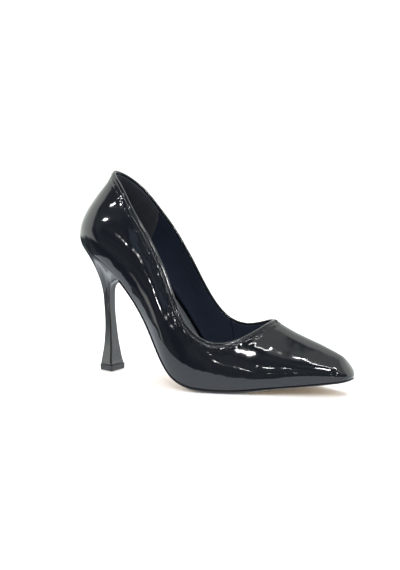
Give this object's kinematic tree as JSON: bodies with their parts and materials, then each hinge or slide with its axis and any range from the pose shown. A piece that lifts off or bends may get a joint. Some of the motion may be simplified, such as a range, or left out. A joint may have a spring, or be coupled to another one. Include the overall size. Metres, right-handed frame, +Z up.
{
  "type": "high heel pump",
  "caption": "Closed pointed-toe court shoe in glossy black patent leather, with a slim waisted stiletto heel, thin sole and a lined open mouth for the foot.",
  "frame": {"origin": "centre of the bounding box's bottom face, on the floor that the heel tip and the ball of the sole stand on", "axes": "+X from heel to toe, +Y to the inner (medial) side of a right foot, +Z up; the shoe stands as worn, heel raised"},
  "size_m": [0.2316, 0.0792, 0.161],
  "materials": {
    "upper_patent_leather": "black patent leather, mirror-like lacquer",
    "lining_leather": "dark smooth lining leather",
    "heel_grip_suede": "dark suede-finish heel grip",
    "tape_fabric": "narrow woven reinforcing tape",
    "puff_fabric": "resin-stiffened fabric",
    "counter_board": "moulded fibre board stiffener",
    "insole_board": "cellulose insole board",
    "shank_board": "hard fibre board",
    "spring_steel": "tempered spring steel strip",
    "brass": "plain brass rivet",
    "filler_felt": "grey felt",
    "sock_leather": "dark grey sock lining",
    "pad_foam": "soft latex foam",
    "outsole_resin": "tan resin rubber underside with a black painted edge",
    "heel_plastic": "black lacquered ABS",
    "top_piece_rubber": "dense black polyurethane",
    "steel": "plain steel"
  },
  "bodies": {
    "root": {"upper": "upper_patent_leather", "vamp_lining": "lining_leather", "quarter_lining_lateral": "lining_leather", "quarter_lining_medial": "lining_leather", "heel_grip_lining": "heel_grip_suede", "topline_tape": "tape_fabric", "toe_puff": "puff_fabric", "heel_counter": "counter_board", "insole_board": "insole_board", "shank_board": "shank_board", "steel_shank": "spring_steel", "shank_rivet_front": "brass", "shank_rivet_rear": "brass", "bottom_filler": "filler_felt", "sock_lining": "sock_leather", "heel_pad_foam": "pad_foam", "ball_pad_foam": "pad_foam", "outsole": "outsole_resin", "heel_block": "heel_plastic", "heel_dowel": "steel", "top_piece": "top_piece_rubber", "top_piece_pin": "steel", "heel_screw": "steel", "heel_nail_1": "steel", "heel_nail_2": "steel", "heel_nail_3": "steel", "heel_nail_4": "steel"}
  },
  "joints": []
}
